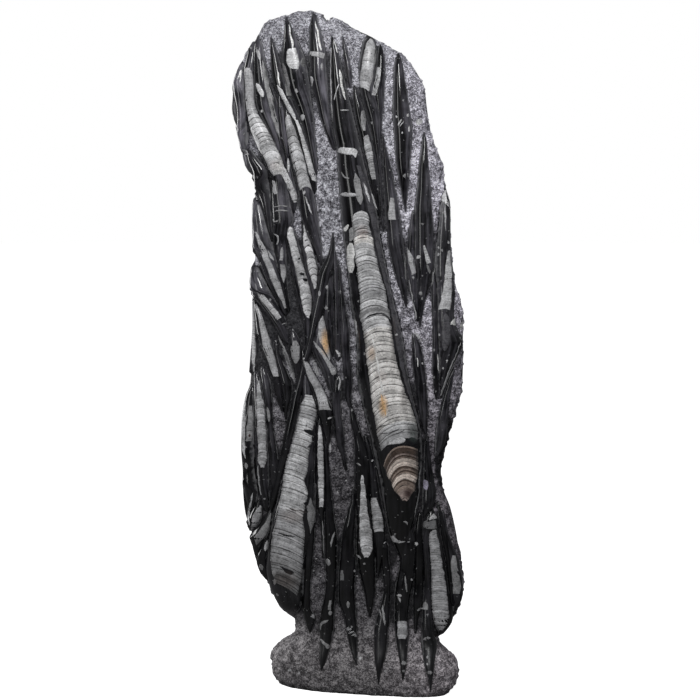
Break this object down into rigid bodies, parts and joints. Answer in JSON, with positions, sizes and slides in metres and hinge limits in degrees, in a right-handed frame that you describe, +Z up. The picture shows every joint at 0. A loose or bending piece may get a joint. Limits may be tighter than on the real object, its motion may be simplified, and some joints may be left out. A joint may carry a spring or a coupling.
{
  "type": "orthoceras fossil tower",
  "caption": "Tall free-standing block of black limestone with a flared foot, carved so that long tapered fossil shells stand proud of its pecked surface, for display.",
  "frame": {"origin": "on the underside of the foot, at the middle of the stone's plan box", "axes": "+Z up along the stone's height, +X to the right as its carved front is seen, so the front faces -Y"},
  "size_m": [0.306, 0.1316, 0.9],
  "materials": {
    "black_limestone": "polished ribs on pecked matt ground",
    "fossil_shell": "polished grey calcite"
  },
  "bodies": {
    "root": {"fossil_plate": "black_limestone"}
  },
  "joints": []
}
